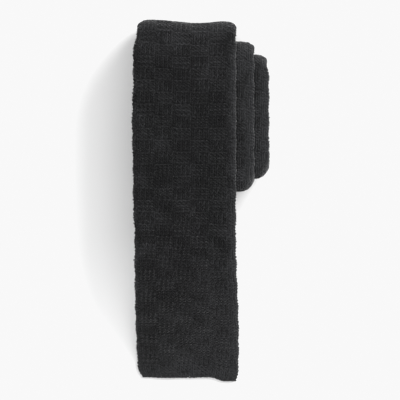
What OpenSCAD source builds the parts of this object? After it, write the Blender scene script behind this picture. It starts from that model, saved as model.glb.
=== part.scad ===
// Square-ended knitted necktie, laid down as a flat spiral roll.
// The tie is one long flattened knit tube. Its front blade lies on top of the roll and hangs
// down past the near end to the table; the rest is wound inwards beneath it, face outwards.
// Units are millimetres, +Z is up and the table is z = 0. The origin is the centre of the
// footprint. The blade's tip points to -Y.

/* [Tie] */
// Width of the front blade
blade_w = 60; // [54:1:66]
// Width of the neck band
neck_w = 44; // [38:1:48]
// Width of the tail
tail_w = 48; // [42:1:52]
// Thickness of the flattened tube, two knit walls and the lining
cloth_t = 1.9; // [1.6:0.1:2]
// Thickness of the knit wall on the face side
face_wall = 0.75; // [0.6:0.05:0.75]
// Thickness of the lining band inside the tube
lining_t = 0.35; // [0.25:0.05:0.35]
// How much narrower the lining is than the tube, on each side
lining_inset = 5; // [3:0.5:8]

/* [Roll] */
// Distance from the origin to the far fold, and to the blade's tip
half_length = 105.5; // [100:0.5:110]
// Space left between neighbouring layers
layer_gap = 0.35; // [0.3:0.05:0.4]
// Extra space under the front blade, where the labels are
blade_gap = 0.6; // [0.5:0.1:1]
// Largest radius of the folds at both ends
fold_r = 8; // [6:0.5:9]
// Where the first near fold lies
near_end = 5; // [2:0.5:8]
// How far each layer drifts sideways from the one before it, for the first four
drift = 5.4; // [4:0.2:6]

/* [Hanging blade] */
// Where the blade starts to fall away from the roll
fall_start = 6; // [4:0.5:8]
// How late it drops: 1 is an even wave, and more keeps it level for longer
fall_lag = 1.25; // [1:0.05:1.5]
// Length of its end, beyond the hem, that lies flat on the table
flat_end = 3.5; // [2:0.5:8]
// Line across the blade where its end folds back over the roll
fold_line = 10; // [9:0.5:12]

/* [Trim] */
// Depth of the hems that close both ends of the tube
hem_d = 4; // [3:0.5:6]
// Width of the keeper loop across the blade
keeper_w = 34; // [30:1:40]
// Depth of the keeper loop along the blade
keeper_d = 6; // [5:0.5:6.5]
// Width of the blank woven label
label_w = 30; // [24:1:36]
// Depth of the blank woven label
label_d = 18; // [14:1:20]

/* [Hidden] */

wool = [0.13, 0.13, 0.14];
thread = [0.07, 0.07, 0.08];
canvas = [0.75, 0.73, 0.68];
satin = [0.16, 0.16, 0.18];

layers = 16;             // passes of cloth, front blade included
taper_from = 2;          // passes from this one on get narrower, up to the neck band
taper = 2;               // by this much each
drifting = 4;            // passes that drift sideways
neck_first = 7;          // first pass of the neck band
tail_first = 11;         // first pass of the tail
pitch = cloth_t + layer_gap;
roll_h = layers * pitch - layer_gap;
total_h = roll_h + blade_gap;
clear = 0.05;            // air round a piece sewn inside another
joint_gap = 0.3;         // air between bodies at a hinge line
seam_gap = 1.6;          // width of the open groove between the two back edges
thread_w = 1.0;          // width of the seam thread in that groove
thread_inset = 0.1;      // how far the seam thread lies below the back surface
groove_cut = 0.1;        // how far the groove's cutter passes the back surface
arc_steps = 6;           // straight pieces in a quarter of a fold
fall_steps = 24;         // straight pieces in the falling blade
fall_ease = 1.2;         // how softly the falling blade meets the table
tack_step = 4;           // the one of them that carries the bar tack, counted from the table
tail_end = 34;           // where the tail stops inside the roll
lining_s = face_wall + clear;
back_s = lining_s + lining_t + clear;

// Steps between the folds of successive turns shrink towards one layer's pitch
function fold_step(first, ratio, j) = max(pitch + 0.35, first * pow(ratio, j - 1));
function far_y(j) = j == 0 ? half_length : far_y(j - 1) - fold_step(12, 0.6, j);
function near_y(j) = j == 0 ? near_end : near_y(j - 1) + fold_step(7.6, 0.68, j);

// A pass k is on top when even and underneath when odd
function on_top(k) = k % 2 == 0;
function turn_no(k) = floor(k / 2);
function way(k) = on_top(k) ? 1 : -1;
function face_z(k) = k == 0 ? total_h
                   : on_top(k) ? roll_h - turn_no(k) * pitch
                   : turn_no(k) * pitch;
function end_y(k) = on_top(k) ? far_y(turn_no(k)) : near_y(turn_no(k));
function mid_z(k) = (face_z(k) + face_z(k + 1)) / 2;
function turn_r(k) = min(fold_r, abs(face_z(k) - face_z(k + 1)) / 2 - 0.05);
function pass_w(k) = k >= tail_first ? tail_w
                   : k >= neck_first ? neck_w
                   : blade_w - taper * max(0, k - taper_from);

// The footprint runs from the blade's left edge to the right edge of the last pass that drifts
side_x = (blade_w / 2 + drift * drifting + pass_w(drifting) / 2) / 2;
function pass_x(k) = blade_w / 2 - side_x + drift * min(k, drifting);

// Points s inside the cloth's face, on an arc about a fold's centre
function arc(y, z, r, from) =
    [for (i = [0:arc_steps]) let (a = from - 90 * i / arc_steps) [y + r * cos(a), z + r * sin(a)]];
function turn_mid(k, s) = [end_y(k) - way(k) * s, mid_z(k)];
function turn_start(k, s) =
    arc(end_y(k) - way(k) * turn_r(k), face_z(k) - way(k) * turn_r(k), turn_r(k) - s,
        on_top(k) ? 90 : 270);
function turn_finish(k, s) =
    arc(end_y(k) - way(k) * turn_r(k), face_z(k + 1) + way(k) * turn_r(k), turn_r(k) - s,
        on_top(k) ? 0 : 180);
function pass_path(k, s) =
    concat([turn_mid(k - 1, s)], turn_finish(k - 1, s), turn_start(k, s), [turn_mid(k, s)]);

// Several passes in one run, from the middle of one fold to the middle of another
function run_path(first, last, s) =
    concat([turn_mid(first - 1, s)],
           [for (k = [first:last]) each concat(turn_finish(k - 1, s), turn_start(k, s))],
           [turn_mid(last, s)]);
function tail_path(first, last, s, stop) =
    concat(run_path(first, last - 1, s), turn_finish(last - 1, s),
           [[stop, face_z(last) - way(last) * s]]);

// The blade falls from the roll's top to the table along a quarter cosine wave, drawn out at its top
tip_y = -half_length;
fall_end = tip_y + hem_d + flat_end;
fall_l = fall_start - fall_end;
fall_h = total_h - cloth_t;
function fall_y(i) = fall_end + fall_l * i / fall_steps;
function fall_u(y) = (fall_start - y) / fall_l;
function fall_angle(y) = 90 * pow(fall_u(y), fall_lag);
function fall_z(y) = cloth_t + fall_h * pow(max(0, cos(fall_angle(y))), fall_ease);
function fall_slope(y) = fall_h / fall_l * PI / 2 * fall_lag * pow(fall_u(y), fall_lag - 1)
                         * fall_ease * pow(max(0, cos(fall_angle(y))), fall_ease - 1)
                         * sin(fall_angle(y));
function fall_point(y, s) =
    let (m = fall_slope(y), n = sqrt(1 + m * m)) [y + s * m / n, fall_z(y) - s / n];
function fall_path(s, first) =
    concat([for (i = [first:fall_steps]) fall_point(fall_y(i), s)],
           [[fold_line - joint_gap / 2, total_h - s]]);
function blade_end_path(s, start) = concat([[start, cloth_t - s]], fall_path(s, 0));
function blade_mid_path(s) =
    concat([[fold_line + joint_gap / 2, total_h - s]], turn_start(0, s),
           [[end_y(0) - s, mid_z(0) + joint_gap / 2]]);
function first_roll_path(s) =
    concat([[end_y(0) - s, mid_z(0) - joint_gap / 2]], turn_finish(0, s), turn_start(1, s),
           [turn_mid(1, s)]);

function reversed(list) = [for (i = [len(list) - 1:-1:0]) list[i]];

// A band of cloth between two paths, centred on x and w wide
module band(outer, inner, x, w)
    translate([x - w / 2, 0, 0])
        rotate([90, 0, 90])
            linear_extrude(w)
                polygon(concat(outer, reversed(inner)));

// A flat block on the cloth's back or face
module slab(x, y, z, size) translate([x, y, z]) cube(size);

/* Blade: the end that hangs, and the part that lies on the roll */

blade_x = pass_x(0);
tack_size = [9, 1.6, 0.5];
hem_y = tip_y + hem_d;   // where the hem ends and the open tube starts

// The straight piece of the blade's back that carries the bar tack
tack_low = fall_point(fall_y(tack_step), cloth_t);
tack_high = fall_point(fall_y(tack_step + 1), cloth_t);
module at_blade_tack()
    translate([blade_x, (tack_low[0] + tack_high[0]) / 2, (tack_low[1] + tack_high[1]) / 2])
        rotate([atan2(tack_high[1] - tack_low[1], tack_high[0] - tack_low[0]), 0, 0])
            children();

// A bar tack whose middle is at the origin, on its back surface; air is added all round it
module tack(air = 0)
    translate([-tack_size[0] / 2 - air, -tack_size[1] / 2 - air, -air])
        cube(tack_size + 2 * air * [1, 1, 1]);

module blade_end_knit() color(wool)
    difference() {
        band(blade_end_path(0, hem_y), blade_end_path(cloth_t, hem_y), blade_x, blade_w);
        band(blade_end_path(face_wall, tip_y), blade_end_path(back_s, tip_y),
             blade_x, blade_w - 2 * lining_inset + 2 * clear);
        band(blade_end_path(back_s - clear, tip_y), blade_end_path(cloth_t + groove_cut, tip_y),
             blade_x, seam_gap);
        at_blade_tack() tack(clear);
    }

module blade_end_lining() color(canvas)
    band(blade_end_path(lining_s, hem_y + clear), blade_end_path(lining_s + lining_t, hem_y + clear),
         blade_x, blade_w - 2 * lining_inset);

module blade_end_seam_thread() color(thread)
    band(fall_path(back_s, tack_step + 1), fall_path(cloth_t - thread_inset, tack_step + 1),
         blade_x, thread_w);

// The turned-in end of the tube, with a shallow row of stitch holes across its back
stitch = [2.6, 0.6, 0.35];
stitch_step = 4;
row_side = 2;            // from the hem's side to the row's end
row_edge = 1.4;          // from the hem's inner edge to the row's far side
row_w = 0.8;
row_d = 0.5;
row_margin = (row_w - stitch[1]) / 2;

module hem(x, w, y, z)
    difference() {
        slab(x - w / 2, y, z, [w, hem_d - clear, cloth_t]);
        slab(x - w / 2 + row_side, y + hem_d - row_edge, z - row_d,
             [w - 2 * row_side, row_w, 2 * row_d]);
    }

// Hand stitches that lie in that row
module hem_stitches(x, w, y, z) {
    count = floor((w - 2 * row_side - stitch[0]) / stitch_step);
    for (i = [0:count])
        slab(x - (count * stitch_step + stitch[0]) / 2 + stitch_step * i,
             y + hem_d - row_edge + row_margin, z + row_margin, stitch);
}

module blade_hem() color(wool) hem(blade_x, blade_w, tip_y, 0);
module blade_hem_stitches() color(thread) hem_stitches(blade_x, blade_w, tip_y, 0);
module blade_bar_tack() color(thread) at_blade_tack() tack();

module blade_mid_knit() color(wool)
    difference() {
        band(blade_mid_path(0), blade_mid_path(cloth_t), blade_x, blade_w);
        band(blade_mid_path(face_wall), blade_mid_path(back_s),
             blade_x, blade_w - 2 * lining_inset + 2 * clear);
        band(blade_mid_path(back_s - clear), blade_mid_path(cloth_t + groove_cut), blade_x, seam_gap);
    }

module blade_mid_lining() color(canvas)
    band(blade_mid_path(lining_s), blade_mid_path(lining_s + lining_t),
         blade_x, blade_w - 2 * lining_inset);

module blade_mid_seam_thread() color(thread)
    band(blade_mid_path(back_s), blade_mid_path(cloth_t - thread_inset), blade_x, thread_w);

/* Keeper loop and labels, on the back of the blade */

blade_back_z = total_h - cloth_t;
keeper_from_fold = 0.9;  // between the keeper and the start of the far fold
keeper_y = half_length - fold_r - keeper_d - keeper_from_fold;
keeper_t = 0.5;          // thickness of the keeper's band
keeper_slack = 0.6;      // height of the slit the tail passes through
keeper_h = keeper_t + keeper_slack;
sewn_end = 4;            // length of each sewn end
label_y = 58;
label_t = 0.25;
care_size = [14, 9, 0.25];
care_gap = 4;            // between the two labels
tacking = [0.5, 1.6, 0.15];
label_tacks = 5;         // tacking stitches down each side of the label
keeper_tacks = 2;        // and at each end of the keeper
label_tack_side = 1;     // from the label's side to its stitches
keeper_tack_side = 1.5;

// A band sewn to the blade at both ends, free in the middle
module keeper_loop() color(satin)
    difference() {
        slab(blade_x - keeper_w / 2, keeper_y, blade_back_z - keeper_h,
             [keeper_w, keeper_d, keeper_h]);
        slab(blade_x - keeper_w / 2 + sewn_end, keeper_y - 1, blade_back_z - keeper_slack,
             [keeper_w - 2 * sewn_end, keeper_d + 2, 2 * keeper_slack]);
    }

module maker_label() color(satin)
    slab(blade_x - label_w / 2, label_y, blade_back_z - label_t, [label_w, label_d, label_t]);

module care_label() color(canvas)
    slab(blade_x - care_size[0] / 2, label_y - care_size[1] - care_gap,
         blade_back_z - care_size[2], care_size);

// A row of tacking stitches along Y, evenly spaced over a length, under a surface at z
module tacking_row(x, y, z, length, count)
    for (i = [0:count - 1])
        slab(x - tacking[0] / 2, y + length * (i + 0.5) / count - tacking[1] / 2,
             z - tacking[2], tacking);

module label_stitches() color(thread)
    for (side = [-1, 1]) {
        tacking_row(blade_x + side * (label_w / 2 - label_tack_side), label_y,
                    blade_back_z - label_t, label_d, label_tacks);
        tacking_row(blade_x + side * (keeper_w / 2 - keeper_tack_side), keeper_y,
                    blade_back_z - keeper_h, keeper_d, keeper_tacks);
    }

/* Rolled part of the blade */

module rolled_pass(k, s_out, s_in, w) {
    if (k == 1)
        band(first_roll_path(s_out), first_roll_path(s_in), pass_x(1), w);
    else
        band(pass_path(k, s_out), pass_path(k, s_in), pass_x(k), w);
}

module blade_rolled_knit() color(wool)
    difference() {
        for (k = [1:neck_first - 1])
            rolled_pass(k, 0, cloth_t, pass_w(k));
        for (k = [1:neck_first - 1]) {
            rolled_pass(k, face_wall, back_s, pass_w(k) - 2 * lining_inset + 2 * clear);
            rolled_pass(k, back_s - clear, cloth_t + groove_cut, seam_gap);
        }
        joint_cut(neck_first - 1);
    }

module blade_rolled_lining() color(canvas)
    difference() {
        for (k = [1:neck_first - 1])
            rolled_pass(k, lining_s, lining_s + lining_t, pass_w(k) - 2 * lining_inset);
        joint_cut(neck_first - 1);
    }

module blade_rolled_seam_thread() color(thread)
    difference() {
        for (k = [1:neck_first - 1])
            rolled_pass(k, back_s, cloth_t - thread_inset, thread_w);
        joint_cut(neck_first - 1);
    }

/* Joint seams: a row of stitching across the tube where two lengths meet */

seam_t = 0.5;            // thickness of the stitching between the two cut ends

seam_edge = 0.1;         // how far it stays inside the cloth's two surfaces
seam_side = 1;           // and inside the cloth's sides

// Space that the stitching takes, in the middle of the fold after pass k
module joint_cut(k)
    slab(-blade_w, end_y(k) - way(k) * cloth_t / 2 - cloth_t, mid_z(k) - seam_t / 2 - clear,
         [2 * blade_w, 2 * cloth_t, seam_t + 2 * clear]);

module joint_seam(k)
    slab(pass_x(k) - neck_w / 2 + seam_side,
         min(end_y(k), end_y(k) - way(k) * cloth_t) + seam_edge, mid_z(k) - seam_t / 2,
         [neck_w - 2 * seam_side, cloth_t - 2 * seam_edge, seam_t]);

module neck_joint_seam() color(thread) joint_seam(neck_first - 1);
module tail_joint_seam() color(thread) joint_seam(tail_first - 1);

/* Neck band */

module neck_run(s_out, s_in, w)
    difference() {
        band(run_path(neck_first, tail_first - 1, s_out), run_path(neck_first, tail_first - 1, s_in),
             pass_x(neck_first), w);
        joint_cut(neck_first - 1);
        joint_cut(tail_first - 1);
    }

module neck_band_knit() color(wool)
    difference() {
        neck_run(0, cloth_t, neck_w);
        neck_run(face_wall, back_s, neck_w - 2 * lining_inset + 2 * clear);
        neck_run(back_s - clear, cloth_t + groove_cut, seam_gap);
    }

module neck_band_lining() color(canvas)
    neck_run(lining_s, lining_s + lining_t, neck_w - 2 * lining_inset);

module neck_seam_thread() color(thread)
    neck_run(back_s, cloth_t - thread_inset, thread_w);

/* Tail */

tail_x = pass_x(tail_first);
tail_hem_z = face_z(layers - 1);
tail_tack_y = tail_end + 13;
tail_seam_y = tail_tack_y + tack_size[1];

// The tail lies face down, so its tack and its hem are turned over
module at_tail_tack()
    translate([tail_x, tail_tack_y, tail_hem_z + cloth_t]) mirror([0, 0, 1]) children();

module tail_run(s_out, s_in, w, stop)
    difference() {
        band(tail_path(tail_first, layers - 1, s_out, stop),
             tail_path(tail_first, layers - 1, s_in, stop), tail_x, w);
        joint_cut(tail_first - 1);
    }

module tail_knit() color(wool)
    difference() {
        tail_run(0, cloth_t, tail_w, tail_end + hem_d);
        tail_run(face_wall, back_s, tail_w - 2 * lining_inset + 2 * clear, tail_end);
        tail_run(back_s - clear, cloth_t + groove_cut, seam_gap, tail_end);
        at_tail_tack() tack(clear);
    }

module tail_lining() color(canvas)
    tail_run(lining_s, lining_s + lining_t, tail_w - 2 * lining_inset, tail_end + hem_d + clear);

module tail_seam_thread() color(thread)
    tail_run(back_s, cloth_t - thread_inset, thread_w, tail_seam_y);

module tail_end_turned()
    translate([0, 0, 2 * tail_hem_z + cloth_t]) mirror([0, 0, 1]) children();

module tail_hem() color(wool) tail_end_turned() hem(tail_x, tail_w, tail_end, tail_hem_z);
module tail_hem_stitches() color(thread)
    tail_end_turned() hem_stitches(tail_x, tail_w, tail_end, tail_hem_z);
module tail_bar_tack() color(thread) at_tail_tack() tack();

blade_end_knit();
blade_end_lining();
blade_end_seam_thread();
blade_hem();
blade_hem_stitches();
blade_bar_tack();
blade_mid_knit();
blade_mid_lining();
blade_mid_seam_thread();
keeper_loop();
maker_label();
care_label();
label_stitches();
blade_rolled_knit();
blade_rolled_lining();
blade_rolled_seam_thread();
neck_joint_seam();
neck_band_knit();
neck_band_lining();
neck_seam_thread();
tail_joint_seam();
tail_knit();
tail_lining();
tail_seam_thread();
tail_hem();
tail_hem_stitches();
tail_bar_tack();
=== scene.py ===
"""Looks of a square-ended knitted necktie, laid down as a flat roll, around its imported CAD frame.

The tie is one long flattened tube. Its middle surface is a line in the YZ plane, the same one that the CAD
model follows: tip, table, fall, top of the roll, and then down through the layers. Every soft piece is laid
out on that line: smooth inner cloth, yarn stitches course by course, seams, hems, keeper loop and labels.
Lengths are in metres.
"""

import math

import bpy
import numpy as np
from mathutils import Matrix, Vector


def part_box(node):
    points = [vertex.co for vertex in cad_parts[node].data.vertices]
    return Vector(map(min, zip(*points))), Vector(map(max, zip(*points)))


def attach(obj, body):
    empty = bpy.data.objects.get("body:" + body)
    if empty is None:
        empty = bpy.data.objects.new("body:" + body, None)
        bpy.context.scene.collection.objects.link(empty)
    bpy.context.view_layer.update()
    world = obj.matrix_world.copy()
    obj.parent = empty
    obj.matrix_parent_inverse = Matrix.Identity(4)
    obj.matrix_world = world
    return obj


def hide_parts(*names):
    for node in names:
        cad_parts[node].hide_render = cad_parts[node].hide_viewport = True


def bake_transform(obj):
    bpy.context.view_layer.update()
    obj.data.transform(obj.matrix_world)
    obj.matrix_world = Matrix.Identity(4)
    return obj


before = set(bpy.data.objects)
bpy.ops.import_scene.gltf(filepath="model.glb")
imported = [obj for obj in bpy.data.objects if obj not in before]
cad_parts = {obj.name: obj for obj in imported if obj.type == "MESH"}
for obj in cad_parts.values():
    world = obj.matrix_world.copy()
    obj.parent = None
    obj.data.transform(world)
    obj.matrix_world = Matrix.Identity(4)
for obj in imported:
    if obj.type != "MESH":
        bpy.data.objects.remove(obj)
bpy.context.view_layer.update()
MM = 0.001
RNG = np.random.default_rng(7)

# ---------------------------------------------------------------- sizes, from the frame and the tie itself


def span(node, axis):
    """Lowest and highest coordinate of a CAD node along an axis."""
    low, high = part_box(node)
    return low[axis], high[axis]


X, Y, Z = 0, 1, 2
TIP_Y = span("blade_hem", Y)[0]
FAR_Y = span("blade_mid_knit", Y)[1]
NEAR_Y = span("blade_rolled_knit", Y)[0]
TOP_Z = span("blade_mid_knit", Z)[1]
CLOTH_T = span("blade_hem", Z)[1] - span("blade_hem", Z)[0]
BLADE_W = span("blade_hem", X)[1] - span("blade_hem", X)[0]
BLADE_X = sum(span("blade_hem", X)) / 2
NECK_W = span("neck_band_knit", X)[1] - span("neck_band_knit", X)[0]
TAIL_W = span("tail_knit", X)[1] - span("tail_knit", X)[0]
TAIL_END = span("tail_hem", Y)[0]

LAYERS = 16
NECK_FIRST = 7
TAIL_FIRST = 11
LAYER_GAP = 0.35 * MM
PITCH = CLOTH_T + LAYER_GAP
ROLL_H = LAYERS * PITCH - LAYER_GAP
FOLD_R = 8 * MM
DRIFT = 5.4 * MM
FALL_START = 6 * MM
FALL_END = span("blade_end_knit", Y)[0] + 3.5 * MM
FALL_LAG = 1.25         # how late the blade drops, as in the CAD model
FALL_EASE = 1.2         # how softly it meets the table
LINE_STEP = 0.25 * MM
FAR_STEP, FAR_RATIO = 12 * MM, 0.6        # first step between folds at the far end, and how steps shrink
NEAR_STEP, NEAR_RATIO = 7.6 * MM, 0.68    # the same at the near end
LEAST_STEP = PITCH + 0.35 * MM
STRAIGHT_PASSES = 4                       # layers after this one no longer move sideways
PULL_REACH = 9 * MM                       # length of cloth that a fold pulls narrower
PULL_FAR, PULL_NEAR = 2.2 * MM, 5.5 * MM  # how far the folds pull the cloth's edges back

# Knit gauge and yarn
COURSE = 1.77 * MM      # height of one row of stitches
WALES = 45              # stitches round the tube
BLOCK_WALES = 4         # stitches across one basket block
BLOCK_COURSES = 4       # rows in one basket block
YARN_R = 0.5 * MM
FUZZ_R = 0.018 * MM
BIND_TWIST = 2.46 * MM  # length of one twist of the two strands that bind an end off
WALL_OFF = 0.24 * MM    # yarn's middle line, from the cloth's middle surface
LOOP_DEPTH = 0.28 * MM  # how far a loop swings in and out
LOOP_LEAN = 0.28        # how far a loop's head overhangs its neck, in stitch widths
LOOP_REACH = 0.82       # half a loop's height, in courses
SCALLOP = 0.32 * MM     # how far the blocks make the cloth's edges wave
PAINTED_SHEEN_EDGE = 10 * MM      # width of the band along each edge where a sheen is painted into the colour
PAINTED_SHEEN_RIGHT, PAINTED_SHEEN_LEFT = 1.15, 0.45        # strength of the painted sheen along the two edges, more on the right, where the light comes from
PAINTED_SHEEN_FOLD, PAINTED_SHEEN_TIP = 30 * MM, 34 * MM    # how far the painted highlight reaches from a fold and from the tip
PAINTED_SHEEN_ENDS = 0.6                          # strength of the painted highlight at folds and tip
PAINTED_SHEEN_BOUND = 0.9                         # and on the bound-off ends

# ---------------------------------------------------------------- the tie's line


def ramp(values, low, high):
    """0 below low, 1 above high, smooth between."""
    u = np.clip((values - low) / (high - low), 0, 1)
    return u * u * (3 - 2 * u)


def on_top(k):
    return k % 2 == 0


def way(k):
    return 1 if on_top(k) else -1


def fold_step(first, ratio, j):
    return max(LEAST_STEP, first * ratio ** (j - 1))


def far_y(j):
    return FAR_Y if j == 0 else far_y(j - 1) - fold_step(FAR_STEP, FAR_RATIO, j)


def near_y(j):
    return NEAR_Y if j == 0 else near_y(j - 1) + fold_step(NEAR_STEP, NEAR_RATIO, j)


def face_z(k):
    """Height of the outward face of pass k."""
    if k == 0:
        return TOP_Z
    return ROLL_H - (k // 2) * PITCH if on_top(k) else (k // 2) * PITCH


def end_y(k):
    return far_y(k // 2) if on_top(k) else near_y(k // 2)


def turn_r(k):
    return min(FOLD_R, abs(face_z(k) - face_z(k + 1)) / 2 - 0.05 * MM)


def pass_w(k):
    if k >= TAIL_FIRST:
        return TAIL_W
    if k >= NECK_FIRST:
        return NECK_W
    return BLADE_W - 2 * MM * max(0, k - 2)


def pass_x(k):
    return BLADE_X + DRIFT * min(k, STRAIGHT_PASSES)


def quarter(y, z, r, start):
    """A quarter turn, clockwise seen from +X, about (y, z)."""
    a = np.radians(start - np.linspace(0, 90, 40))
    return np.column_stack([y + r * np.cos(a), z + r * np.sin(a)])


def turn(k):
    """The fold after pass k, as points on the middle surface."""
    r, w, off = turn_r(k), way(k), CLOTH_T / 2
    first = quarter(end_y(k) - w * r, face_z(k) - w * r, r - off, 90 if on_top(k) else 270)
    last = quarter(end_y(k) - w * r, face_z(k + 1) + w * r, r - off, 0 if on_top(k) else 180)
    return np.vstack([first, last])


def fall():
    """From the tip along the table and up the falling blade, on the middle surface."""
    y = np.linspace(FALL_END, FALL_START, 160)
    u = ((FALL_START - y) / (FALL_START - FALL_END)) ** FALL_LAG
    rise = np.maximum(0, np.cos(math.pi / 2 * u)) ** FALL_EASE
    z = CLOTH_T / 2 + (TOP_Z - CLOTH_T) * rise
    return np.vstack([[[TIP_Y, CLOTH_T / 2]], np.column_stack([y, z])])


class Line:
    """The whole tie's middle surface in the YZ plane, with the cloth's place and half width along it."""

    def __init__(self):
        parts = [fall()]
        marks = []
        length = self.length_of(parts[0])
        for k in range(LAYERS - 1):
            part = turn(k)
            length += np.linalg.norm(part[0] - parts[-1][-1])
            start = length
            length += self.length_of(part)
            marks.append((start, length))
            parts.append(part)
        stop = np.array([[TAIL_END, face_z(LAYERS - 1) + CLOTH_T / 2]])
        points = np.vstack(parts + [stop])
        points = points[np.r_[True, np.linalg.norm(np.diff(points, axis=0), axis=1) > 1e-7]]
        s = np.r_[0, np.cumsum(np.linalg.norm(np.diff(points, axis=0), axis=1))]
        self.turns = marks
        self.length = s[-1]
        self.s = np.arange(0, self.length, LINE_STEP)
        self.y = np.interp(self.s, s, points[:, 0])
        self.z = np.interp(self.s, s, points[:, 1])
        ty, tz = np.gradient(self.y), np.gradient(self.z)
        size = np.hypot(ty, tz)
        self.ny, self.nz = self.soft(-tz / size, 3), self.soft(ty / size, 3)
        self.lay_sideways()
        self.pull_folds()

    @staticmethod
    def length_of(points):
        return np.linalg.norm(np.diff(points, axis=0), axis=1).sum()

    @staticmethod
    def soft(values, reach):
        """Values evened out over a few neighbours, with the ends kept."""
        padded = np.pad(values, reach, mode="edge")
        return np.convolve(padded, np.ones(2 * reach + 1) / (2 * reach + 1), mode="valid")

    def lay_sideways(self):
        """Top passes and walls lie straight; the cloth moves sideways along the bottom passes."""
        at, x, w = [0], [pass_x(0)], [pass_w(0) / 2]
        for k, (start, end) in enumerate(self.turns):
            at.append(end if on_top(k) else start)
            top = k if on_top(k) else k + 1
            x.append(pass_x(top))
            w.append(pass_w(top) / 2)
        self.x = self.soft(np.interp(self.s, at, x), 30)
        self.half_w = self.soft(np.interp(self.s, at, w), 30)

    def pull_folds(self):
        """How far the cloth's edges are pulled back where it folds, signed along Y."""
        self.pull = np.zeros_like(self.s)
        for k, (start, end) in enumerate(self.turns):
            near = ramp(1 - np.maximum(start - self.s, self.s - end) / PULL_REACH, 0, 1)
            self.pull -= way(k) * (PULL_FAR if on_top(k) else PULL_NEAR) * near

    def at(self, name, s):
        return np.interp(s, self.s, getattr(self, name))

    def s_of_pass(self, k, y):
        """Distance along the tie of the point of pass k at this y."""
        start = 0 if k == 0 else self.turns[k - 1][1]
        end = self.turns[k][0]
        inside = (self.s >= start) & (self.s <= end)
        s, ys = self.s[inside], self.y[inside]
        order = np.argsort(ys)
        return float(np.interp(y, ys[order], s[order]))


def bell(values, middle, width):
    """1 at the middle, fading smoothly to both sides."""
    return np.exp(-(((values - middle) / width) ** 2))


def slouch(p):
    """The small irregular ways in which this tie lies, as one smooth field."""
    x, y = p[..., 0].copy(), p[..., 1].copy()
    far_end, near_tip = ramp(y, 84 * MM, 104 * MM), ramp(-y, 62 * MM, 102 * MM)
    # Along the tie: the far fold dips in its middle and bulges at the left, the tip is longer at the right
    p[..., 1] -= 1.5 * MM * bell(x, -3 * MM, 15 * MM) * ramp(y, 66 * MM, 100 * MM)
    p[..., 1] -= 2.0 * MM * ramp(x, 4 * MM, 12 * MM) * near_tip
    p[..., 1] += (0.6 + 0.5 * ramp(-x, 0, 25 * MM)) * MM * far_end
    # Sideways: the hanging end drifts right, the far left corner draws in, and the left edge waves
    p[..., 0] += 2.0 * MM * ramp(-y, 20 * MM, 85 * MM)
    p[..., 0] += 3.4 * MM * ramp(-x, 18 * MM, 40 * MM) * ramp(y, 84 * MM, 102 * MM)
    p[..., 0] += 0.35 * MM * np.sin(y / (9.5 * MM)) * ramp(-x, 5 * MM, 30 * MM)
    p[..., 0] += 1.5 * MM * bell(y, -20 * MM, 16 * MM) * ramp(-x, 10 * MM, 38 * MM)
    p[..., 0] -= 1.4 * MM * ramp(x, 30 * MM, 38 * MM) * ramp(y, 70 * MM, 84 * MM)
    return p


def edge_sag(s, across, half):
    """How far the cloth's edges droop: the free blade most, the rolled cloth a little, the tip not."""
    near = np.clip((np.abs(across) - (half - 5 * MM)) / (5 * MM), 0, 1.1)
    free = ramp(s, 4 * MM, 30 * MM) * (1 - ramp(s, LINE.turns[0][0] - 20 * MM, LINE.turns[0][0]))
    return (0.2 + 0.4 * free) * MM * near**2 * ramp(s, 0, 8 * MM)


def place(s, across, height, line):
    """Points on the tie: distance along it, sideways from its middle, and out from its middle surface."""
    s, across, height = np.broadcast_arrays(s, across, height)
    half = line.at("half_w", s)
    edge = np.clip((np.abs(across) - (half - 11 * MM)) / (11 * MM), 0, 1.1)
    p = np.empty(s.shape + (3,))
    tuck = np.clip(1 - s / (8 * MM), 0, 1)
    height = height - edge_sag(s, across, half)
    p[..., 0] = line.at("x", s) + across * (1 - np.where(across < 0, 0.1, 0.05) * tuck**2)
    p[..., 1] = line.at("y", s) + line.at("pull", s) * edge**4 + line.at("ny", s) * height
    p[..., 1] += np.clip(s, -0.6 * MM, 0)       # stitches at the tip reach a little past its end
    p[..., 2] = line.at("z", s) + line.at("nz", s) * height
    return slouch(p)


def section(p, half_w, off):
    """A flattened tube's cross-section: sideways place, height and normal for a distance p round it."""
    flat = half_w - off
    size = np.abs(p)
    angle = np.clip((size - flat) / off, 0, math.pi)
    over = np.clip(size - flat - math.pi * off, 0, None)
    side = np.sign(p)
    across = side * (np.minimum(size, flat) + off * np.sin(angle) - over)
    return across, off * np.cos(angle), side * np.sin(angle), np.cos(angle)


def girth(half_w, off):
    """Distance round a flattened tube."""
    return 4 * (half_w - off) + 2 * math.pi * off


LINE = Line()


def outward(along, side_n, up_n):
    """Normals in space of points on the tie's tube."""
    ny, nz = LINE.at("ny", along), LINE.at("nz", along)
    return np.stack(np.broadcast_arrays(side_n, up_n * ny, up_n * nz), -1)


# ---------------------------------------------------------------- meshes


def make_object(name, verts, faces, uvs=None):
    """A mesh object from numpy arrays; faces is a list of index arrays, one row a face."""
    mesh = bpy.data.meshes.new(name)
    verts = np.asarray(verts, np.float32).reshape(-1, 3)
    mesh.vertices.add(len(verts))
    mesh.vertices.foreach_set("co", verts.ravel())
    sizes = np.concatenate([np.full(len(f), f.shape[1], np.int32) for f in faces])
    loops = np.concatenate([f.ravel() for f in faces]).astype(np.int32)
    mesh.loops.add(len(loops))
    mesh.loops.foreach_set("vertex_index", loops)
    mesh.polygons.add(len(sizes))
    mesh.polygons.foreach_set("loop_start", np.r_[0, np.cumsum(sizes)[:-1]].astype(np.int32))
    mesh.polygons.foreach_set("use_smooth", np.ones(len(sizes), bool))
    if uvs is not None:
        layer = mesh.uv_layers.new(name="yarn")
        layer.data.foreach_set("uv", np.asarray(uvs, np.float32).ravel())
    mesh.update(calc_edges=True)
    mesh.validate()
    obj = bpy.data.objects.new(name, mesh)
    bpy.context.scene.collection.objects.link(obj)
    return obj


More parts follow.
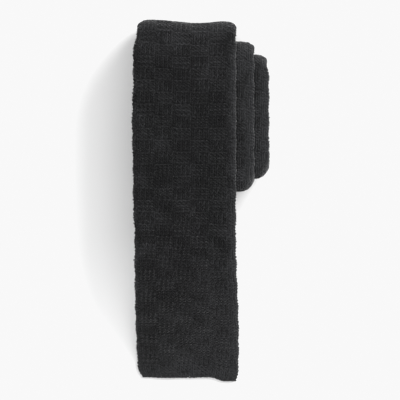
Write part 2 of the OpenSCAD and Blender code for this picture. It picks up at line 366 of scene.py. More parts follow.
def tubes(paths, normals, radius, sides):
    """Closed tubes round many paths of the same number of points: vertices, faces and UVs."""
    rows, count = paths.shape[:2]
    tangent = np.gradient(paths, axis=1)
    tangent /= np.linalg.norm(tangent, axis=2, keepdims=True)
    binormal = np.cross(tangent, normals)
    binormal /= np.maximum(np.linalg.norm(binormal, axis=2, keepdims=True), 1e-9)
    up = np.cross(binormal, tangent)
    angle = 2 * math.pi * np.arange(sides) / sides
    radius = np.broadcast_to(radius, (rows, count))[:, :, None, None]
    ring = up[:, :, None] * np.cos(angle)[:, None] + binormal[:, :, None] * np.sin(angle)[:, None]
    verts = paths[:, :, None] + radius * ring
    first = np.arange(rows)[:, None, None] * count * sides
    m, k = np.arange(count - 1)[:, None], np.arange(sides)
    after = (k + 1) % sides
    quads = np.stack(np.broadcast_arrays(m * sides + k, m * sides + after,
                                         (m + 1) * sides + after, (m + 1) * sides + k), -1)
    quads = (first[..., None] + quads[None]).reshape(-1, 4)
    near = (first[:, 0] + k[::-1]).reshape(rows, sides)
    far = (first[:, 0] + (count - 1) * sides + k).reshape(rows, sides)
    along = np.r_[0, np.cumsum(np.linalg.norm(np.diff(paths.mean(0), axis=0), axis=1))] / (2 * MM)
    u = np.stack(np.broadcast_arrays(along[m], along[m], along[m + 1], along[m + 1]), -1)
    u = np.broadcast_to(u, (count - 1, sides, 4))
    v = np.broadcast_to(np.stack([k, k + 1, k + 1, k], -1) / sides, (count - 1, sides, 4))
    side_uv = np.broadcast_to(np.stack([u, v], -1), (rows, count - 1, sides, 4, 2)).reshape(-1, 2)
    caps_uv = np.zeros((2 * rows * sides, 2))
    return verts.reshape(-1, 3), [quads, near, far], np.vstack([side_uv, caps_uv])


def combine(name, batches):
    """One mesh object from several results of tubes()."""
    verts, quads, caps, side_uv, cap_uv, count = [], [], [], [], [], 0
    for v, (q, near, far), uv in batches:
        sides_end = len(uv) - near.size - far.size
        verts.append(v)
        quads.append(q + count)
        caps += [near + count, far + count]
        side_uv.append(uv[:sides_end])
        cap_uv.append(uv[sides_end:])
        count += len(v)
    return make_object(name, np.vstack(verts), [np.vstack(quads), np.vstack(caps)],
                       np.vstack(side_uv + cap_uv))


def course_spots(s0, s1):
    """Places along the tie of the rows of stitches between s0 and s1, counted from the tip."""
    first, last = math.ceil(s0 / COURSE - 0.5), math.floor(s1 / COURSE - 0.5)
    return np.arange(first, last + 1)


def stitch_rows(s0, s1, wale0, wale1, samples):
    """Middle lines of the yarn in every row, with the surface's normals and the yarn's tone with its
    painted sheen and highlights.
    """
    rows = course_spots(s0, s1)
    t = np.linspace(wale0, wale1, int(round((wale1 - wale0) * samples)) + 1)
    t = t - 0.6 * np.sin(4 * math.pi * t) / (4 * math.pi)       # closer together round heads and feet
    wale = np.round(t).astype(int)
    beside = wale + np.where(t >= wale, 1, -1)
    mix = ramp(np.abs(t - wale), 0.3, 0.7)
    wales = np.arange(-WALES, WALES + 1)

    def along_row(values):
        """Values for each stitch, evened out where one stitch meets the next."""
        return values[:, wale + WALES] * (1 - mix) + values[:, beside + WALES] * mix

    block = (rows // BLOCK_COURSES)[:, None] + ((wales + BLOCK_WALES // 2) // BLOCK_WALES)[None]
    face = along_row((1 - 2 * (block % 2)) * (1 + 0.12 * RNG.normal(size=block.shape)))
    lift, lean, reach, shift = (along_row(RNG.normal(size=(len(rows), len(wales)))) for _ in range(4))
    wave = 2 * math.pi * t
    row, cone = rows[:, None], 1 - 2 * (rows[:, None] % 2)
    s = (row + 0.5) * COURSE
    half_w = LINE.at("half_w", s)
    pitch = girth(half_w, WALL_OFF) / WALES
    p = pitch * (t + (LOOP_LEAN + 0.025 * lean) * np.sin(2 * wave) + 0.03 * shift)
    along = s + COURSE * (LOOP_REACH + 0.06 * reach) * np.cos(wave)
    along = along + 0.16 * COURSE * np.sin(p / (6.3 * MM) + row / 9.0)
    depth = -face * LOOP_DEPTH * np.cos(2 * wave) + 0.035 * MM * lift + 0.05 * MM * cone
    across, height, side_n, up_n = section(p, half_w, WALL_OFF)
    scallop = SCALLOP * np.sin(math.pi * (row + 0.5) / BLOCK_COURSES)
    near_edge = np.clip((np.abs(across) - (half_w - 8 * MM)) / (8 * MM), 0, 1.1) ** 2
    across = across + side_n * depth + scallop * near_edge * np.sign(across)
    points = place(along, across, height + up_n * depth, LINE)
    # Tone and painted highlight: one leg of each loop is painted lighter, the leg that the yarn's twist
    # turns to the light; every other row is from the second cone, and the rest is tone that differs at
    # random
    uneven = np.sin(row / 2.3 + 1.7 * np.sin(t / 3.1)) * np.sin(t / 2.7 + row / 7.9)
    shade = 0.16 * reach - 0.05 * face + 0.14 * np.sin(wave) + 0.1 * cone + 0.1 * uneven
    return points, outward(along, side_n, up_n), painted_sheen_at(along, across, half_w) + shade


def painted_sheen_at(s, across, half_w):
    """Painted sheen and light on the wool's colour, 0 to 1: most at the cloth's edges, its ends and its
    folds, where light grazes the cloth.
    """
    side = np.clip((np.abs(across) - (half_w - PAINTED_SHEEN_EDGE)) / PAINTED_SHEEN_EDGE, 0, 1) ** 2
    side = side * np.where(across > 0, PAINTED_SHEEN_RIGHT, PAINTED_SHEEN_LEFT)
    fold = np.zeros_like(side)
    for start, end in LINE.turns[:4]:
        fold = np.maximum(fold, 1 - np.clip(np.maximum(start - s, s - end) / PAINTED_SHEEN_FOLD, 0, 1))
    tip = 1 - np.clip(s / PAINTED_SHEEN_TIP, 0, 1)
    # Painted light: the hanging end is paler, most at its right, and so is what lies under the front blade,
    # the third layer most, where the light falls on them
    painted_paler = 0.55 * (1 - ramp(s, 20 * MM, 125 * MM)) * (1 + 0.4 * across / half_w)
    painted_paler = painted_paler + 0.46 * ramp(s, LINE.turns[0][1], LINE.turns[1][0])
    painted_paler = painted_paler + 0.15 * ramp(s, LINE.turns[2][1], LINE.turns[3][0])
    return painted_paler + np.maximum(side, np.maximum(PAINTED_SHEEN_ENDS * fold**1.1, PAINTED_SHEEN_ENDS * tip**1.1))


def set_painted_sheen_and_tone(obj, values):
    """Stores the yarn's tone with its painted sheen and light at each vertex, for the wool material."""
    layer = obj.data.attributes.new("painted_sheen_and_tone", "FLOAT", "POINT")
    layer.data.foreach_set("value", np.asarray(values, np.float32))


def knit(name, s0, s1, spans, samples, sides):
    """Yarn stitches over part of the tie, for one or more spans of wales."""
    batches, sheen_and_tone_rows = [], []
    for wale0, wale1 in spans:
        points, normals, painted_sheen_and_tone = stitch_rows(s0, s1, wale0, wale1, samples)
        thick = YARN_R * (1 + 0.05 * RNG.normal(size=(len(points), 1)))
        batches.append(tubes(points, normals, thick, sides))
        sheen_and_tone_rows.append(np.repeat(painted_sheen_and_tone, sides, axis=1).ravel())
    obj = combine(name, batches)
    set_painted_sheen_and_tone(obj, np.concatenate(sheen_and_tone_rows))
    return obj


def fuzz(name, s0, s1, spans, count):
    """Loose fibres that stand out of the knit: short arcs, set at random over the given wales."""
    pick = RNG.integers(0, len(spans), count)
    low, high = np.array(spans, float).T
    wale = low[pick] + (high - low)[pick] * RNG.random(count)
    s = s0 + (s1 - s0) * RNG.random(count)
    heading = 2 * math.pi * RNG.random(count)
    length = (0.9 + 1.6 * RNG.random(count)) * MM
    rise = (0.15 + 0.75 * RNG.random(count) ** 2) * MM
    u = np.linspace(0, 1, 5)
    bend = heading[:, None] + 1.6 * RNG.normal(size=(count, 1)) * u
    half_w = LINE.at("half_w", s)[:, None]
    pitch = girth(half_w, WALL_OFF) / WALES
    p = pitch * wale[:, None] + length[:, None] * u * np.sin(bend)
    along = np.clip(s[:, None] + length[:, None] * u * np.cos(bend), 0, LINE.length)
    out = YARN_R * 0.8 + rise[:, None] * np.sin(0.8 * math.pi * u)
    across, height, side_n, up_n = section(p, half_w, WALL_OFF)
    points = place(along, across + side_n * out, height + up_n * out, LINE)
    taper = FUZZ_R * (1.2 - 0.8 * u)
    verts, faces, uvs = tubes(points, outward(along, side_n, up_n), taper, 3)
    return make_object(name, verts, faces, uvs)


def strip(name, s0, s1, half_t, inset, step=1.0 * MM, ring=28):
    """A smooth flattened tube along part of the tie: inner cloth or lining."""
    s = np.linspace(s0, s1, max(2, int((s1 - s0) / step)))[:, None]
    half_w = LINE.at("half_w", s) - inset
    share = np.linspace(-0.5, 0.5, ring + 1)[:-1]
    across, height, _, _ = section(share * girth(half_w, half_t), half_w, half_t)
    points = place(s, across, height, LINE)
    rows, count = points.shape[:2]
    i, k = np.arange(rows - 1)[:, None], np.arange(count)
    after = (k + 1) % count
    quads = np.stack(np.broadcast_arrays(i * count + k, i * count + after,
                                         (i + 1) * count + after, (i + 1) * count + k), -1)
    caps = np.stack([np.arange(count)[::-1], (rows - 1) * count + np.arange(count)])
    return make_object(name, points, [quads.reshape(-1, 4), caps])


def patch(name, s0, s1, across0, across1, height, thick):
    """A thin closed piece of cloth on the tie's back; height is a number, or a function of across."""
    u = np.linspace(-1, 1, 41)
    a = (across0 + across1) / 2 + u * (across1 - across0) / 2
    s = (s0 + s1) / 2 + u * (s1 - s0) / 2
    s_grid, a_grid = np.meshgrid(s, a)
    rim = np.clip(1 - np.maximum(np.abs(u)[:, None], np.abs(u)[None]) ** 24, 0.05, 1) ** 0.5
    mid = height(a_grid) if callable(height) else np.full_like(a_grid, height)
    n = len(u)
    verts = np.vstack([place(s_grid, a_grid, mid + side * rim * thick / 2, LINE).reshape(-1, 3)
                       for side in (1, -1)])
    i, k = np.meshgrid(np.arange(n - 1), np.arange(n - 1), indexing="ij")
    quad = np.stack([i * n + k, (i + 1) * n + k, (i + 1) * n + k + 1, i * n + k + 1], -1).reshape(-1, 4)
    border = np.r_[np.arange(n), np.arange(1, n) * n + n - 1,
                   (n - 1) * n + np.arange(n - 2, -1, -1), np.arange(n - 2, 0, -1) * n]
    after = np.roll(border, -1)
    skirt = np.stack([border, after, after + n * n, border + n * n], -1)
    return make_object(name, verts, [quad, quad[:, ::-1] + n * n, skirt])


def thread_path(s, across, height):
    """One thread's middle line on the tie, with the surface's normals."""
    points = place(s, across, height, LINE)[None]
    ny, nz = LINE.at("ny", s), LINE.at("nz", s)
    return points, np.stack([np.zeros_like(ny), ny, nz], -1)[None]


def join_tubes(name, paths, radius, sides=5):
    """Several threads, each a (points, normals) pair, as one piece."""
    return combine(name, [tubes(points, normals, radius, sides) for points, normals in paths])


# ---------------------------------------------------------------- the parts of the tie

SURFACE = WALL_OFF + LOOP_DEPTH + YARN_R        # the yarn's outermost height
BACK = -SURFACE
INNER_T = 0.45 * MM
TIP_Y1, FALL_Y1 = -54 * MM, -3 * MM            # ends of the two lengths that move with the hem
SPLIT_Y = 46 * MM                               # where the two bending lengths of the blade meet
ROLLED_Y = 96 * MM                              # where the bending length gives way to the roll

S_TIP = LINE.s_of_pass(0, TIP_Y1)
S_FALL = LINE.s_of_pass(0, FALL_Y1)
S_SPLIT = LINE.s_of_pass(0, SPLIT_Y)
S_ROLLED = LINE.s_of_pass(1, ROLLED_Y)
S_NECK = sum(LINE.turns[NECK_FIRST - 1]) / 2
S_TAIL = sum(LINE.turns[TAIL_FIRST - 1]) / 2
S_END = LINE.length
TAIL_TACK = 13 * MM                             # bar tack's distance from the tail's end

# Wales, counted from the middle of the face; the tube's edges are at 11.25 and its back seam at 22.5
FACE_SPAN = (-13.5, 13.5)
BACK_SPANS = [(-22.2, -13.5), (13.5, 22.2)]
EDGE_SPANS = [(9.5, 14), (-14, -9.5)]


def bend_at_fold(obj):
    """Bakes the piece's placement into its mesh; used for the length where the hanging end folds over."""
    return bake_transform(obj)


def bend_at_wall(obj):
    """Bakes the piece's placement into its mesh; used for the blade's length at the far end of the roll."""
    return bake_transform(obj)


def ride_on(body):
    return lambda obj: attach(obj, body)


def cloth_lengths():
    """The inner cloth and the lining, in the lengths that the CAD nodes have."""
    lengths = [
        ("blade_end", 0.6 * MM, S_SPLIT, bend_at_fold, "blade_end_knit", "blade_end_lining"),
        ("blade_mid", S_SPLIT, S_ROLLED, bend_at_wall, "blade_mid_knit", "blade_mid_lining"),
        ("blade_rolled", S_ROLLED, S_NECK, ride_on("roll"), "blade_rolled_knit",
         "blade_rolled_lining"),
        ("neck", S_NECK, S_TAIL, ride_on("roll"), "neck_band_knit", "neck_band_lining"),
        ("tail", S_TAIL, S_END, ride_on("roll"), "tail_knit", "tail_lining"),
    ]
    made = {}
    for name, s0, s1, hold, knit_node, lining_node in lengths:
        cloth = strip(name + "_cloth", s0, s1, INNER_T, 0.25 * MM)
        lining = strip(name + "_lining_strip", s0 + 3 * MM, s1 - 0.2 * MM, 0.12 * MM, 5 * MM, ring=12)
        for piece, node, slot in ((cloth, knit_node, "knit"), (lining, lining_node, "lining")):
            hold(piece)
            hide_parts(node)
        made[name] = (cloth, lining, s0, s1)
    return made


def visible_knit():
    """Yarn stitches wherever the tie can be seen, in pieces of under 200,000 faces."""
    lower, roll = ride_on("blade_lower"), ride_on("roll")
    s_wall, s_bottom = LINE.turns[0][0] - 4 * MM, LINE.turns[1][0]
    s_second, s_under = LINE.s_of_pass(2, 24 * MM), LINE.turns[2][1]
    s_third, s_inner = LINE.turns[3][0], LINE.turns[4][1]
    back_left, inner = (-19.5, -13.5), [(7.0, 16.0), (-17.5, -7.0)]
    fine, plain = (12, 6), (8, 5)
    spec = [
        ("tip_face", 0.2 * MM, S_TIP, [FACE_SPAN], fine, lower, "blade_end"),
        ("tip_back", 0.2 * MM, S_TIP, BACK_SPANS, plain, lower, "blade_end"),
        ("fall_face", S_TIP, S_FALL, [FACE_SPAN], fine, lower, "blade_end"),
        ("fall_back", S_TIP, S_FALL, BACK_SPANS, plain, lower, "blade_end"),
        ("fold_face", S_FALL, S_SPLIT, [FACE_SPAN], fine, bend_at_fold, "blade_end"),
        ("fold_back", S_FALL, S_SPLIT, BACK_SPANS, plain, bend_at_fold, "blade_end"),
        ("top_face", S_SPLIT, s_wall, [FACE_SPAN], fine, bend_at_wall, "blade_mid"),
        ("top_back", S_SPLIT, s_wall, BACK_SPANS, plain, bend_at_wall, "blade_mid"),
        ("wall_face", s_wall, S_ROLLED, [FACE_SPAN], fine, bend_at_wall, "blade_mid"),
        ("wall_back", s_wall, S_ROLLED, BACK_SPANS, plain, bend_at_wall, "blade_mid"),
        ("bottom_face", S_ROLLED, s_bottom, [FACE_SPAN], plain, roll, "blade_rolled"),
        ("bottom_back", S_ROLLED, s_bottom, [back_left, (13.5, 17)], plain, roll, "blade_rolled"),
        ("near_wall", s_bottom, s_second, [FACE_SPAN, back_left, (13.5, 17)], fine, roll,
         "blade_rolled"),
        ("second_layer", s_second, s_under, [(-19.5, 17)], (11, 6), roll, "blade_rolled"),
        ("second_under", s_under, s_third, [(2.5, 17), (-19.5, -9.5)], plain, roll, "blade_rolled"),
        ("third_layer", s_third, s_inner, [(2.5, 16.5), (-19.5, -9.5)], fine, roll, "blade_rolled"),
        ("inner_edge", s_inner, S_NECK, inner, plain, roll, "blade_rolled"),
        ("neck_edge", S_NECK, S_TAIL, inner, plain, roll, "neck"),
        ("tail_edge", S_TAIL, S_END, inner, plain, roll, "tail"),
    ]
    pieces = {}
    for name, s0, s1, spans, (samples, sides), hold, owner in spec:
        piece = knit(name + "_yarn", s0, s1, spans, samples, sides)
        hold(piece)
        pieces.setdefault(owner, []).append(piece)
    return pieces


def loose_fibres():
    """Fuzz over the parts of the tie that show, thickest along the edges."""
    spec = [
        ("tip", 0, S_TIP, 1500, ride_on("blade_lower"), "blade_end"),
        ("fall", S_TIP, S_FALL, 1300, ride_on("blade_lower"), "blade_end"),
        ("fold", S_FALL, S_SPLIT, 1300, bend_at_fold, "blade_end"),
        ("top", S_SPLIT, S_ROLLED, 2600, bend_at_wall, "blade_mid"),
        ("roll", S_ROLLED, LINE.turns[4][1], 3600, ride_on("roll"), "blade_rolled"),
    ]
    pieces = {}
    for name, s0, s1, count, hold, owner in spec:
        piece = fuzz(name + "_fuzz", s0, s1, EDGE_SPANS + [FACE_SPAN], count)
        hold(piece)
        pieces.setdefault(owner, []).append(piece)
    return pieces


def zigzag(s0, s1, half_across, waves_length, height):
    """A thread that sews to and fro across the back seam."""
    count = int((s1 - s0) / waves_length * 6)
    s = np.linspace(s0, s1, count)
    wave = (s - s0) / waves_length
    across = half_across * (2 / math.pi) * np.arcsin(np.sin(2 * math.pi * wave))
    return thread_path(s, across, height + 0.06 * MM * np.cos(4 * math.pi * wave))


def seams():
    """The centre-back seam, a thread that crosses from edge to edge at every course."""
    lengths = [
        ("blade_end_seam", LINE.s_of_pass(0, span("blade_end_seam_thread", Y)[0]), S_SPLIT,
         bend_at_fold, "blade_end_seam_thread", "blade_end"),
        ("blade_mid_seam", S_SPLIT, S_ROLLED, bend_at_wall, "blade_mid_seam_thread", "blade_mid"),
        ("blade_rolled_seam", S_ROLLED, S_NECK, ride_on("roll"), "blade_rolled_seam_thread",
         "blade_rolled"),
        ("neck_seam", S_NECK, S_TAIL, ride_on("roll"), "neck_seam_thread", "neck"),
        ("tail_seam", S_TAIL, S_END - 12 * MM, ride_on("roll"), "tail_seam_thread", "tail"),
    ]
    made = {}
    for name, s0, s1, hold, node, owner in lengths:
        piece = join_tubes(name, [zigzag(s0, s1, 1.1 * MM, COURSE, BACK + 0.3 * MM)], 0.24 * MM)
        hold(piece)
        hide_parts(node)
        made[owner] = [piece]
    return made


def hem_edge(s_edge, half_w, toward):
    """The bound-off edge: two strands twisted round each other across the end of the tube."""
    count = int(2 * half_w / (0.3 * MM))
    across = np.linspace(-half_w, half_w, count)
    made = []
    for phase in (0, math.pi):
        angle = 2 * math.pi * across / BIND_TWIST + phase
        wave = np.sin(2 * math.pi * across / (4.9 * MM) + 1.3 * np.sin(across / (8 * MM)))
        s = s_edge + toward * MM * (0.32 * np.cos(angle) + 0.4 * wave)
        made.append(thread_path(s, across, 0.42 * MM * np.sin(angle)))
    return made


def hems():
    """Both square ends: the bound-off edge, and the stitches that hold the turned-in cloth."""
    half = BLADE_W / 2 - 0.6 * MM
    tail_half = TAIL_W / 2 - 0.6 * MM
    spec = [("blade", 0.35 * MM, half, 1, ride_on("blade_lower")),
            ("tail", S_END - 0.35 * MM, tail_half, -1, ride_on("roll"))]
    made = {}
    for name, s_edge, half_w, toward, hold in spec:
        edge = join_tubes(name + "_bound_edge", hem_edge(s_edge, half_w, toward), 0.46 * MM, 7)
        # Painted highlight on the bound-off edge, through the same attribute
        set_painted_sheen_and_tone(edge, np.full(len(edge.data.vertices), PAINTED_SHEEN_BOUND))
        stitches = []
        for a in np.arange(-half_w + 2.5 * MM, half_w - 4 * MM, 4.1 * MM):
            u = np.linspace(0, 1, 8)
            s = s_edge + toward * (3.0 * MM + 0.3 * MM * u)
            rise = 0.25 * MM * np.sin(math.pi * u)
            stitches.append(thread_path(s, a + 2.7 * MM * u, BACK + 0.1 * MM - rise))
        sewn = join_tubes(name + "_hem_sewing", stitches, 0.17 * MM)
        for piece, node, slot in ((edge, name + "_hem", "knit"),
                                  (sewn, name + "_hem_stitches", "thread")):
            hold(piece)
            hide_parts(node)
        made[name] = [edge, sewn]
    return made


def bar_tacks():
    """A dense zigzag of thread across each end of the back seam."""
    made = {}
    s_tack = LINE.s_of_pass(0, sum(span("blade_bar_tack", Y)) / 2)
    for name, s_mid, hold in (("blade", s_tack, ride_on("blade_lower")),
                              ("tail", S_END - TAIL_TACK, ride_on("roll"))):
        wave = np.linspace(0, 15, 15 * 10)
        across = (wave / 15 - 0.5) * 9 * MM
        s = s_mid + 0.8 * MM * (2 / math.pi) * np.arcsin(np.sin(2 * math.pi * wave))
        path = thread_path(s, across, np.full_like(s, BACK - 0.02 * MM))
        piece = join_tubes(name + "_tack", [path], 0.2 * MM)
        hold(piece)
        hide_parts(name + "_bar_tack")
        made[name] = [piece]
    return made


def on_back(node):
    """Where a CAD node lies on the front blade: along the tie, and sideways from its middle."""
    (x0, x1), (y0, y1) = span(node, X), span(node, Y)
    return LINE.s_of_pass(0, y0), LINE.s_of_pass(0, y1), x0 - BLADE_X, x1 - BLADE_X


def running_stitches(s0, s1, across, height, count):
    """Short stitches in line along the tie."""
    made = []
    step = (s1 - s0) / count
    u = np.linspace(0, 1, 7)
    for i in range(count):
        s = s0 + step * (i + 0.18 + 0.62 * u)
        made.append(thread_path(s, np.full_like(s, across), height - 0.16 * MM * np.sin(math.pi * u)))
    return made


def keeper_and_labels():
    """The loop for the tail, the blank label above it, the care label, and their stitches."""
    s0, s1, a0, a1 = on_back("keeper_loop")
    free_half = (a1 - a0) / 2 - 4 * MM
    middle = (a0 + a1) / 2

    def sag(across):
        u = np.clip(np.abs(across - middle) / free_half, 0, 1)
        return BACK - 0.22 * MM - 0.5 * MM * (1 - u**2) ** 2

    keeper = patch("keeper_band", s0, s1, a0, a1, sag, 0.4 * MM)
    m0, m1, b0, b1 = on_back("maker_label")
    label = patch("blank_label", m0, m1, b0, b1, BACK - 0.12 * MM, 0.24 * MM)
    c0, c1, d0, d1 = on_back("care_label")
    care = patch("blank_care_label", c0, c1, d0, d1, BACK - 0.12 * MM, 0.2 * MM)
    rows = []
    for side in (b0 + 1 * MM, b1 - 1 * MM):
        rows += running_stitches(m0 + 1 * MM, m1 - 1 * MM, side, BACK - 0.22 * MM, 7)
    for side in (a0 + 1.5 * MM, a1 - 1.5 * MM):
        rows += running_stitches(s0 + 0.6 * MM, s1 - 0.6 * MM, side, BACK - 0.4 * MM, 3)
    for side in (d0 + 0.8 * MM, d1 - 0.8 * MM):
        rows += running_stitches(c0 + 1 * MM, c1 - 1 * MM, side, BACK - 0.22 * MM, 4)
    stitches = join_tubes("label_sewing", rows, 0.13 * MM)
    spec = ((keeper, "keeper_loop", "label_satin"), (label, "maker_label", "label_satin"),
            (care, "care_label", "label_tape"), (stitches, "label_stitches", "thread"))
    for piece, node, slot in spec:
        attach(piece, "blade_upper")
        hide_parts(node)
    return keeper, label, care, stitches


# ---------------------------------------------------------------- materials


class Material:
    """A small helper that builds a node material round one Principled shader."""

    def __init__(self, name):
        self.mat = bpy.data.materials.new(name)
        self.mat.use_nodes = True
        self.tree = self.mat.node_tree
        self.shader = self.tree.nodes["Principled BSDF"]

    def node(self, kind, **settings):
        made = self.tree.nodes.new(kind)
        for key, value in settings.items():
            if hasattr(made, key):
                setattr(made, key, value)
            else:
                made.inputs[key.replace("_", " ")].default_value = value
        return made

    def link(self, source, target):
        self.tree.links.new(source, target)

    def math(self, operation, a, b=None):
        made = self.tree.nodes.new("ShaderNodeMath")
        made.operation = operation
        for socket, value in zip(made.inputs, (a, b)):
            if value is None:
                continue
            if isinstance(value, (int, float)):
                socket.default_value = value
            else:
                self.link(value, socket)
        return made.outputs[0]

    def plies(self, along, round_it):
        """Grooves between a yarn's plies, from its own coordinates along and round it."""
        parts = self.node("ShaderNodeSeparateXYZ")
        self.link(self.node("ShaderNodeUVMap", uv_map="yarn").outputs["UV"], parts.inputs[0])
        turns = self.math("ADD", self.math("MULTIPLY", parts.outputs["X"], along),
                          self.math("MULTIPLY", parts.outputs["Y"], round_it))
        return self.math("ABSOLUTE", self.math("SINE", self.math("MULTIPLY", turns, math.pi)))

    def noise(self, scale, detail=2.0, roughness=0.5):
        where = self.node("ShaderNodeTexCoord")
        made = self.node("ShaderNodeTexNoise", Scale=scale, Detail=detail, Roughness=roughness)
        self.link(where.outputs["Object"], made.inputs["Vector"])
        return made.outputs["Fac"]

    def colours(self, value, stops):
        ramp_node = self.node("ShaderNodeValToRGB")
        elements = ramp_node.color_ramp.elements
        while len(elements) < len(stops):
            elements.new(0.5)
        for element, (place_at, colour) in zip(elements, stops):
            element.position = place_at
            element.color = (*colour, 1)
        self.link(value, ramp_node.inputs["Fac"])
        return ramp_node.outputs["Color"]

    def bump(self, height, distance, strength, onto=None):
        made = self.node("ShaderNodeBump", Distance=distance, Strength=strength)
        self.link(height, made.inputs["Height"])
        if onto is not None:
            self.link(onto, made.inputs["Normal"])
        return made.outputs["Normal"]

    def shade(self, **values):
        for key, value in values.items():
            self.shader.inputs[key.replace("_", " ")].default_value = value
        return self


def wool_yarn():
    """Two-ply charcoal wool: plies twisted along the yarn, loose fibres, a soft sheen."""
    m = Material("wool_yarn")
    ply, fibres = m.plies(1.1, 2.0), m.noise(5200, 3.0, 0.6)
    tone = m.math("ADD", m.math("MULTIPLY", m.noise(60, 3.0), 0.4),
                  m.math("MULTIPLY", m.noise(1500, 2.0), 0.6))
    # Painted sheen and light: this attribute lightens the wool's colour at edges, folds, ends, the hanging
    # end and the lower layers, and also carries the yarn's own tone
    painted_sheen_and_tone_node = m.node("ShaderNodeAttribute", attribute_name="painted_sheen_and_tone")
    tone = m.math("ADD", tone, m.math("MULTIPLY", painted_sheen_and_tone_node.outputs["Fac"], 0.22))
    colour = m.colours(tone, [(0.35, (0.0032, 0.0032, 0.0035)), (0.52, (0.0062, 0.0063, 0.0066)),
                              (0.78, (0.024, 0.0245, 0.026))])
    m.link(colour, m.shader.inputs["Base Color"])
    soft = m.bump(ply, 0.12 * MM, 0.7)
    m.link(m.bump(fibres, 0.06 * MM, 0.8, soft), m.shader.inputs["Normal"])
    rough = m.math("ADD", m.math("MULTIPLY", fibres, 0.2), 0.78)
    m.link(rough, m.shader.inputs["Roughness"])
    m.shade(Sheen_Weight=0.28, Sheen_Roughness=0.4, Specular_IOR_Level=0.1)
    return m.mat


def inner_wool():
    """The felted body of the cloth, seen only between the stitches."""
    m = Material("inner_wool")
    tone = m.noise(900, 4.0, 0.6)
    colour = m.colours(tone, [(0.35, (0.004, 0.004, 0.0044)), (0.7, (0.009, 0.009, 0.0096))])
    m.link(colour, m.shader.inputs["Base Color"])
    m.link(m.bump(m.noise(2400, 3.0, 0.7), 0.15 * MM, 1.0), m.shader.inputs["Normal"])
    m.shade(Roughness=0.95, Sheen_Weight=0.2, Sheen_Roughness=0.5, Specular_IOR_Level=0.2)
    return m.mat


def wool_fibre():
    """Single loose fibres of the same wool."""
    m = Material("wool_fibre")
    m.shade(Base_Color=(0.022, 0.022, 0.024, 1), Roughness=0.85, Specular_IOR_Level=0.1)
    return m.mat


def sewing_thread():
    """Fine mercerised thread, twisted tightly."""
    m = Material("sewing_thread")
    ply = m.plies(4.0, 3.0)
    # Painted shade: the thread's colour is darker in the grooves between its plies
    colour = m.colours(ply, [(0.1, (0.006, 0.006, 0.007)), (0.8, (0.022, 0.022, 0.025))])
    m.link(colour, m.shader.inputs["Base Color"])
    m.link(m.bump(ply, 0.05 * MM, 0.6), m.shader.inputs["Normal"])
    m.shade(Roughness=0.5, Sheen_Weight=0.2, Specular_IOR_Level=0.4)
    return m.mat


def woven(name, low, high, gauge, roughness):
    """Fine plain-woven tape or satin, with its threads as bump and tone."""
    m = Material(name)
    where = m.node("ShaderNodeTexCoord")
    parts = m.node("ShaderNodeSeparateXYZ")
    m.link(where.outputs["Object"], parts.inputs[0])
    warp = m.math("SINE", m.math("MULTIPLY", parts.outputs["X"], 2 * math.pi / gauge))
    weft = m.math("SINE", m.math("MULTIPLY", parts.outputs["Y"], 2 * math.pi / gauge))
    weave = m.math("MULTIPLY_ADD", m.math("MULTIPLY", warp, weft), 0.5)
    tone = m.math("ADD", m.math("MULTIPLY", weave, 0.6), m.math("MULTIPLY", m.noise(300, 3.0), 0.5))
    m.link(m.colours(tone, [(0.1, low), (0.9, high)]), m.shader.inputs["Base Color"])
    m.link(m.bump(weave, 0.06 * MM, 0.7), m.shader.inputs["Normal"])
    m.shade(Roughness=roughness, Sheen_Weight=0.3, Specular_IOR_Level=0.4)
    return m.mat


def lining_cloth():
    """Brushed woven interlining, off-white and hairy."""
    m = Material("lining_cloth")
    tone = m.noise(700, 4.0, 0.6)
    m.link(m.colours(tone, [(0.3, (0.46, 0.43, 0.37)), (0.7, (0.62, 0.59, 0.52))]),
           m.shader.inputs["Base Color"])
    m.link(m.bump(m.noise(2600, 3.0, 0.6), 0.1 * MM, 0.8), m.shader.inputs["Normal"])
    m.shade(Roughness=0.9, Sheen_Weight=0.4)
    return m.mat


def paint(objects, material):
    for obj in objects:
        obj.data.materials.clear()
        obj.data.materials.append(material)


# ---------------------------------------------------------------- camera, floor and light


CAMERA_HEIGHT, FIELD_WIDTH = 2.0, 235.2 * MM
CAMERA_X = -0.5 * MM
FLOOR_REACH, FLOOR_Z = 6.0, -0.25 * MM
SUN_POWER, SUN_ANGLE, SUN_TILT, SUN_TURN = 4.1, 38, 65, 38
SURROUND = 1.15
FLOOR_WHITE = 0.94          # what the fully lit floor reads as


def camera_above(scene):
    camera = bpy.data.cameras.new("camera")
    camera.sensor_width = 36
    camera.lens = camera.sensor_width * (CAMERA_HEIGHT - TOP_Z) / FIELD_WIDTH
    camera.clip_start, camera.clip_end = 0.05, 50
    eye = bpy.data.objects.new("camera", camera)
    eye.location = (CAMERA_X, 0, CAMERA_HEIGHT)
    scene.collection.objects.link(eye)
    scene.camera = eye


def pale_floor(scene):
    mesh = bpy.data.meshes.new("floor")
    corners = [(-1, -1), (1, -1), (1, 1), (-1, 1)]
    places = [(x * FLOOR_REACH, y * FLOOR_REACH, FLOOR_Z) for x, y in corners]
    mesh.from_pydata(places, [], [(0, 1, 2, 3)])
    floor = bpy.data.objects.new("floor", mesh)
    scene.collection.objects.link(floor)
    m = Material("pale_floor")
    m.shade(Base_Color=(0.9, 0.9, 0.9, 1), Roughness=0.8, Specular_IOR_Level=0.1)
    floor.data.materials.append(m.mat)


def soft_light(scene):
    """A wide sun low on the right, and a bright even surround."""
    sun = bpy.data.lights.new("soft_key", "SUN")
    sun.energy, sun.angle = SUN_POWER, math.radians(SUN_ANGLE)
    lamp = bpy.data.objects.new("soft_key", sun)
    lamp.rotation_euler = (0, math.radians(SUN_TILT), math.radians(SUN_TURN))
    scene.collection.objects.link(lamp)

    world = bpy.data.worlds.new("surround")
    world.use_nodes = True
    world.node_tree.nodes["Background"].inputs["Color"].default_value = (1, 1, 1, 1)
    world.node_tree.nodes["Background"].inputs["Strength"].default_value = SURROUND
    scene.world = world


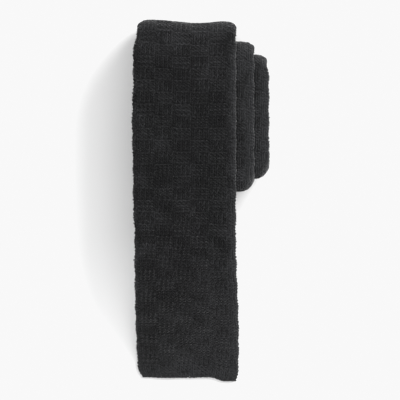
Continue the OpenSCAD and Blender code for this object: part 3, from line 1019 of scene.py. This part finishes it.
def studio():
    """A camera straight above, a pale floor, and soft light, with fully lit floor as one even off-white."""
    scene = bpy.context.scene
    scene.view_settings.view_transform = "Standard"
    camera_above(scene)
    pale_floor(scene)
    soft_light(scene)
    scene.view_settings.use_curve_mapping = True
    mapping = scene.view_settings.curve_mapping
    mapping.extend = "HORIZONTAL"
    mapping.curves[3].points[1].location = (1.0, FLOOR_WHITE)
    mapping.update()


def every(groups):
    """All pieces of a dictionary of lists, in one list."""
    return [piece for pieces in groups.values() for piece in pieces]


def paint_all(cloth, yarn, fibres, seam, hem, tack, trims):
    """One material for each kind of piece, and thread on the two joining seams that come from the frame."""
    keeper, label, care, label_thread = trims
    wool, inner, thread = wool_yarn(), inner_wool(), sewing_thread()
    satin = woven("label_satin", (0.012, 0.012, 0.015), (0.05, 0.05, 0.058), 0.32 * MM, 0.35)
    tape = woven("label_tape", (0.42, 0.41, 0.38), (0.66, 0.65, 0.61), 0.36 * MM, 0.7)
    canvas = lining_cloth()
    paint([outer for outer, _, _, _ in cloth.values()], inner)
    paint([lining for _, lining, _, _ in cloth.values()], canvas)
    paint(every(yarn) + [edge for edge, _ in hem.values()], wool)
    paint(every(fibres), wool_fibre())
    paint(every(seam) + every(tack) + [sewn for _, sewn in hem.values()] + [label_thread], thread)
    paint([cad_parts[node] for node in ("neck_joint_seam", "tail_joint_seam")], thread)
    paint([keeper, label], satin)
    paint([care], tape)


def declare_sheets(cloth, groups, trims):
    """Works out each cloth length's flat width and adds the keeper and its stitches to the groups; neither
    result is used.
    """
    keeper, label, care, label_thread = trims
    groups = groups + [{"blade_mid": [keeper, label_thread]}]
    for name, (outer, lining, s0, s1) in cloth.items():
        width = 2 * float(LINE.at("half_w", (s0 + s1) / 2))


def main():
    studio()
    cloth = cloth_lengths()
    yarn, fibres = visible_knit(), loose_fibres()
    seam, hem, tack = seams(), hems(), bar_tacks()
    trims = keeper_and_labels()
    paint_all(cloth, yarn, fibres, seam, hem, tack, trims)
    on_length = {"blade": "blade_end", "tail": "tail"}
    ends = [{on_length[end]: group[end] for end in group} for group in (hem, tack)]
    declare_sheets(cloth, [yarn, fibres, seam] + ends, trims)


main()
